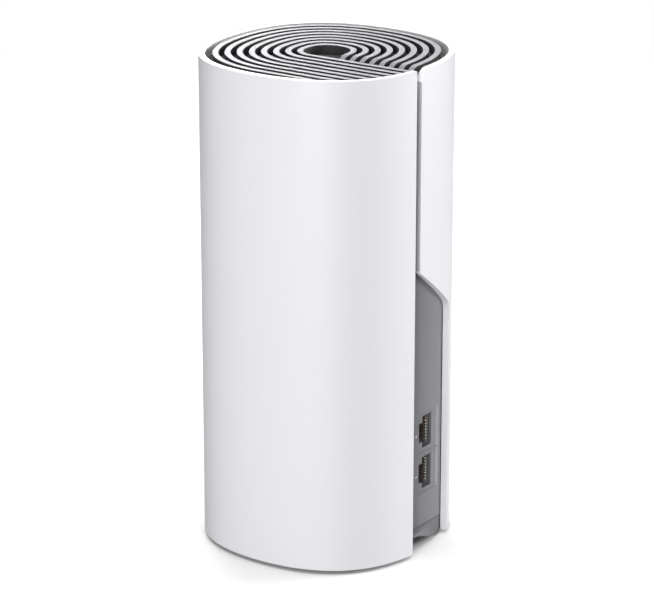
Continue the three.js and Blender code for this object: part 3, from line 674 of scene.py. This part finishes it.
def reset_spring():
    """The coil between the button's flange and the switch, in the space of its CAD solid."""
    low, high = (Vector(corner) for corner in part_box("reset_spring"))
    centre = (low + high) / 2
    radius = (high.x - low.x) / 2 - SPRING_WIRE
    rise = high.z - low.z - 2 * SPRING_WIRE
    steps = SPRING_TURNS * SPRING_STEPS_PER_TURN
    path = []
    for k in range(steps + 1):
        turn = FULL_TURN * k / SPRING_STEPS_PER_TURN
        height = low.z + SPRING_WIRE + rise * k / steps
        path.append(Vector((centre.x + radius * math.cos(turn), centre.y + radius * math.sin(turn), height)))
    points, faces = [], []
    tube(points, faces, path, SPRING_WIRE, WIRE_SIDES)
    spring = mesh_from("reset_spring_coil", points, faces)
    fix_normals(spring)
    add_piece(spring, "screw_steel", "reset_spring")
    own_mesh(spring)


def port_marks():
    """A small raised tick beside each socket, in place of printed signs."""
    points, faces = [], []
    for z in SOCKET_Z:
        path = [
            Vector((MARK_X - MARK_REACH, PANEL_FACE_Y, z + MARK_RISE)),
            Vector((MARK_X, PANEL_FACE_Y, z - MARK_RISE)),
            Vector((MARK_X + MARK_REACH * MARK_TAIL, PANEL_FACE_Y, z + MARK_RISE * MARK_TAIL)),
        ]
        tube(points, faces, path, MARK_RADIUS, MARK_SIDES)
    marks = mesh_from("port_marks", points, faces)
    fix_normals(marks)
    return marks


# ---------- studio ----------

def area_light(name, place, aim, width, height, power):
    light = bpy.data.lights.new(name, "AREA")
    light.shape = "RECTANGLE"
    light.size = width
    light.size_y = height
    light.energy = power
    obj = bpy.data.objects.new(name, light)
    bpy.context.collection.objects.link(obj)
    obj.location = place
    obj.rotation_euler = (Vector(aim) - Vector(place)).to_track_quat("-Z", "Y").to_euler()
    return obj


def around_camera(turn, distance, height):
    """A place at an angle from the camera's side, anticlockwise seen from above."""
    angle = math.radians(CAMERA_AZIMUTH + turn)
    return distance * math.cos(angle), distance * math.sin(angle), height


def floor_paper():
    """White paper that is bright to the eye but throws little light back up at the object."""
    material = plastic("floor_paper", (0.95, 0.95, 0.955), 0.95, grain=60, spread=0.003, specular=0.0)
    nodes, links = material.node_tree.nodes, material.node_tree.links
    path = nodes.new("ShaderNodeLightPath")
    pick = nodes.new("ShaderNodeMix")
    pick.data_type = "RGBA"
    pick.inputs["A"].default_value = (FLOOR_BOUNCE, FLOOR_BOUNCE, FLOOR_BOUNCE, 1)
    links.new(path.outputs["Is Camera Ray"], pick.inputs["Factor"])
    links.new(nodes["Color Ramp"].outputs["Color"], pick.inputs["B"])
    links.new(pick.outputs["Result"], nodes["Principled BSDF"].inputs["Base Color"])
    fade_to_white(material, path)
    return material


def fade_to_white(material, path):
    """Far from the object the paper fades into the white sky, for the eye only."""
    nodes, links = material.node_tree.nodes, material.node_tree.links
    away = nodes.new("ShaderNodeVectorMath")
    away.operation = "LENGTH"
    fade = nodes.new("ShaderNodeMapRange")
    fade.inputs["From Min"].default_value, fade.inputs["From Max"].default_value = PAPER_FADE
    glow = nodes.new("ShaderNodeEmission")
    both = nodes.new("ShaderNodeMixShader")
    links.new(nodes["Texture Coordinate"].outputs["Object"], away.inputs[0])
    links.new(away.outputs["Value"], fade.inputs["Value"])
    links.new(fade.outputs["Result"], both.inputs["Fac"])
    links.new(path.outputs["Is Camera Ray"], glow.inputs["Strength"])
    links.new(nodes["Principled BSDF"].outputs["BSDF"], both.inputs[1])
    links.new(glow.outputs["Emission"], both.inputs[2])
    links.new(both.outputs["Shader"], nodes["Material Output"].inputs["Surface"])


def sky():
    """Looks white; lights the object with a pale band at the horizon and a dim sky above it."""
    world = bpy.data.worlds.new("studio")
    world.use_nodes = True
    nodes, links = world.node_tree.nodes, world.node_tree.links
    place = nodes.new("ShaderNodeTexCoord")
    split = nodes.new("ShaderNodeSeparateXYZ")
    band = nodes.new("ShaderNodeValToRGB")
    band.color_ramp.elements[0].position = HORIZON_TOP
    band.color_ramp.elements[0].color = (1, 1, 1, 1)
    band.color_ramp.elements[1].position = HORIZON_TOP * HORIZON_FADE
    band.color_ramp.elements[1].color = (SKY_LEVEL, SKY_LEVEL, SKY_LEVEL, 1)
    links.new(place.outputs["Generated"], split.inputs["Vector"])
    links.new(split.outputs["Z"], band.inputs["Fac"])
    path = nodes.new("ShaderNodeLightPath")
    pick = nodes.new("ShaderNodeMix")
    pick.data_type = "RGBA"
    pick.inputs["B"].default_value = (1, 1, 1, 1)
    links.new(path.outputs["Is Camera Ray"], pick.inputs["Factor"])
    links.new(band.outputs["Color"], pick.inputs["A"])
    links.new(pick.outputs["Result"], nodes["Background"].inputs["Color"])
    bpy.context.scene.world = world


def studio():
    size = FLOOR_HALF
    corners = [(-size, -size, 0), (size, -size, 0), (size, size, 0), (-size, size, 0)]
    floor = mesh_from("floor", corners, [(0, 1, 2, 3)])
    floor.data.materials.append(floor_paper())
    sky()
    bpy.context.scene.view_settings.view_transform = "Standard"
    middle = (0, 0, LAMP_AIM_Z)
    for name, turn, height, power in LIGHTS:
        area_light(name, around_camera(turn, LAMP_DISTANCE, height), middle, *LAMP_SIZE, power)
    area_light("over", (0, 0, OVERHEAD_Z), middle, OVERHEAD_SIZE, OVERHEAD_SIZE, OVERHEAD_POWER)


def light_recess(pieces):
    """The recess and its sockets get lamps of their own in place of the one behind them."""
    aim = (0, 0, RECESS_AIM_Z)
    lamps = [area_light(name, around_camera(turn, LAMP_DISTANCE, height), aim, *RECESS_LAMP_SIZE, power)
             for name, turn, height, power in RECESS_LIGHTS]
    link_light(bpy.data.objects["right_rear"], pieces, "EXCLUDE")
    for lamp in lamps:
        link_light(lamp, pieces, "INCLUDE")


def link_light(lamp, pieces, state):
    group = bpy.data.collections.new(f"{lamp.name}_{state.lower()}")
    for piece in pieces:
        group.objects.link(piece)
    for member in group.collection_objects:
        member.light_linking.link_state = state
    lamp.light_linking.receiver_collection = group


def camera():
    data = bpy.data.cameras.new("camera")
    data.sensor_width = SENSOR_MM
    data.lens = LENS_MM
    data.clip_start = CLIP_START
    obj = bpy.data.objects.new("camera", data)
    bpy.context.collection.objects.link(obj)
    azimuth, pitch = math.radians(CAMERA_AZIMUTH), math.radians(CAMERA_PITCH)
    obj.location = (CAMERA_DISTANCE * math.cos(azimuth), CAMERA_DISTANCE * math.sin(azimuth), CAMERA_HEIGHT)
    forward = Vector((-math.cos(azimuth) * math.cos(pitch), -math.sin(azimuth) * math.cos(pitch),
                      -math.sin(pitch)))
    obj.rotation_euler = forward.to_track_quat("-Z", "Y").to_euler()
    bpy.context.scene.camera = obj


# ---------- finishes ----------

WHITE = plastic("shell_white", (0.865, 0.862, 0.9), 0.38, grain=1500, bump=0.015, spread=0.006, coat=0.1)
# Warm grey for the shell's inner faces: a painted shade of the white, for the shade inside the wall.
INNER_PAINTED_SHADE = plastic("shell_inner_painted_shade", (0.8, 0.785, 0.77), 0.55, grain=1500, bump=0.03, spread=0.02)
# Painted shade for the seam end's face, which lies in the near shell's shadow.
SEAM_PAINTED_SHADE = plastic("seam_painted_shade", (0.44, 0.44, 0.45), 0.5, grain=1500, bump=0.02, spread=0.02)
RIB = plastic("rib_grey", (0.33, 0.325, 0.35), 0.5, grain=1500, bump=0.04, spread=0.02)
# Near-black painted shade for the rib sides down in the gaps.
RIB_SIDE_PAINTED_SHADE = plastic("rib_side_painted_shade", (0.035, 0.035, 0.038), 0.6, grain=1500, bump=0.04, spread=0.03)
DARK = plastic("dark_plastic", (0.06, 0.06, 0.066), 0.6, grain=1500, bump=0.06, spread=0.05)
CHASSIS = plastic("chassis_grey", (0.2, 0.198, 0.21), 0.55, grain=1500, bump=0.06, spread=0.04)
PANEL = plastic("panel_grey", (0.2, 0.197, 0.21), 0.5, grain=1600, bump=0.1, spread=0.03)
# Painted shade in the socket mouths, behind the bezel floor.
paint_shade_behind(PANEL, BEZEL_FLOOR_Y - BEZEL_MARGIN, (0.075, 0.074, 0.08))
JACK = plastic("jack_plastic", (0.1, 0.1, 0.108), 0.45, grain=1500, bump=0.03)
RUBBER = plastic("rubber_black", (0.018, 0.018, 0.02), 0.8, grain=700, bump=0.15, spread=0.1)
STEEL = metal("tin_steel", (0.62, 0.62, 0.63), 0.32)
GOLD = metal("contact_gold", (0.72, 0.46, 0.2), 0.3)
# Paler metal on the contact beads: a painted highlight for the glints at the tips.
BEAD_PAINTED_GLINT = metal("contact_bead_painted_glint", (0.7, 0.62, 0.48), 0.5)
SCREW = metal("screw_steel", (0.45, 0.46, 0.48), 0.35)
BOARD = plastic("board_green", (0.012, 0.085, 0.04), 0.4, grain=500, bump=0.1, spread=0.2)
CHIP = plastic("chip_black", (0.012, 0.012, 0.013), 0.45, grain=900, bump=0.1, spread=0.1)
ALUMINIUM = metal("sink_aluminium", (0.55, 0.56, 0.58), 0.4)
PAD = plastic("thermal_pad", (0.25, 0.35, 0.45), 0.85, grain=400, bump=0.2, spread=0.05)
LEAD = plastic("lead_black", (0.02, 0.02, 0.022), 0.5, grain=900, bump=0.05)
LENS = plastic("lens_clear", (0.8, 0.85, 0.9), 0.12, grain=300, bump=0.01, spread=0.01)
MARK = plastic("mark_white", (0.8, 0.8, 0.8), 0.5, grain=900, bump=0.02)

FINISHES = {
    "shell_white": WHITE, "rib_grey": RIB, "dark_plastic": DARK, "panel_grey": PANEL, "jack_plastic": JACK,
    "rubber_black": RUBBER, "tin_steel": STEEL, "contact_gold": GOLD, "screw_steel": SCREW,
    "board_green": BOARD, "chip_black": CHIP, "sink_aluminium": ALUMINIUM, "thermal_pad": PAD,
    "lead_black": LEAD, "lens_clear": LENS,
}

# Edge radius of the carried-over pieces that can be seen, in millimetres.
EDGES = {
    "rear_panel": 0.22, "base_moulding": 0.3, "bottom_cover": 0.25, "foot_ring": 0.3, "reset_button": 0.3,
    "dc_inlet_housing": 0.25, "dc_centre_pin": 0.3, "dc_sleeve_contact": 0.08, "light_pipe": 0.2,
    "lower_jack_insulator": 0.12, "upper_jack_insulator": 0.12, "lower_jack_shield": 0.1,
    "upper_jack_shield": 0.1, "top_floor": 0.3, "cover_screw_1": 0.15, "cover_screw_2": 0.15,
    "cover_screw_3": 0.15, "cover_screw_4": 0.15,
}

RECESS_NODES = ("rear_panel", "lower_jack_insulator", "upper_jack_insulator", "base_moulding")


# ---------- assembly ----------

def dress_cad_nodes():
    """Every CAD node gets the procedural finish of its slot, and the ones in view soft edges."""
    for entry in frame["record"]["subparts"]:
        node = frame["nodes"][entry["node"]]
        node.data.materials.clear()
        node.data.materials.append(FINISHES[entry["material_slot"]])
    frame["nodes"]["inner_chassis"].data.materials[0] = CHASSIS
    for name, width in EDGES.items():
        soften(frame["nodes"][name], width * MM)


def add_piece(obj, slot, *nodes):
    if not obj.data.materials:
        obj.data.materials.append(FINISHES[slot])
    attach(obj, "tower")
    if nodes:
        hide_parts(*nodes)


studio()
camera()
dress_cad_nodes()
add_piece(outer_shell(), "shell_white", "outer_shell")
add_piece(top_grille(), "rib_grey", "top_grille")
wires = []
for place, height in zip(("lower", "upper"), SOCKET_Z):
    wires.append(jack_contacts(f"{place}_contact_wires", height))
    add_piece(wires[-1], "contact_gold", f"{place}_jack_contacts")
marks = port_marks()
marks.data.materials.append(MARK)
add_piece(marks, "shell_white")
reset_spring()
light_recess([frame["nodes"][name] for name in RECESS_NODES] + wires + [marks])
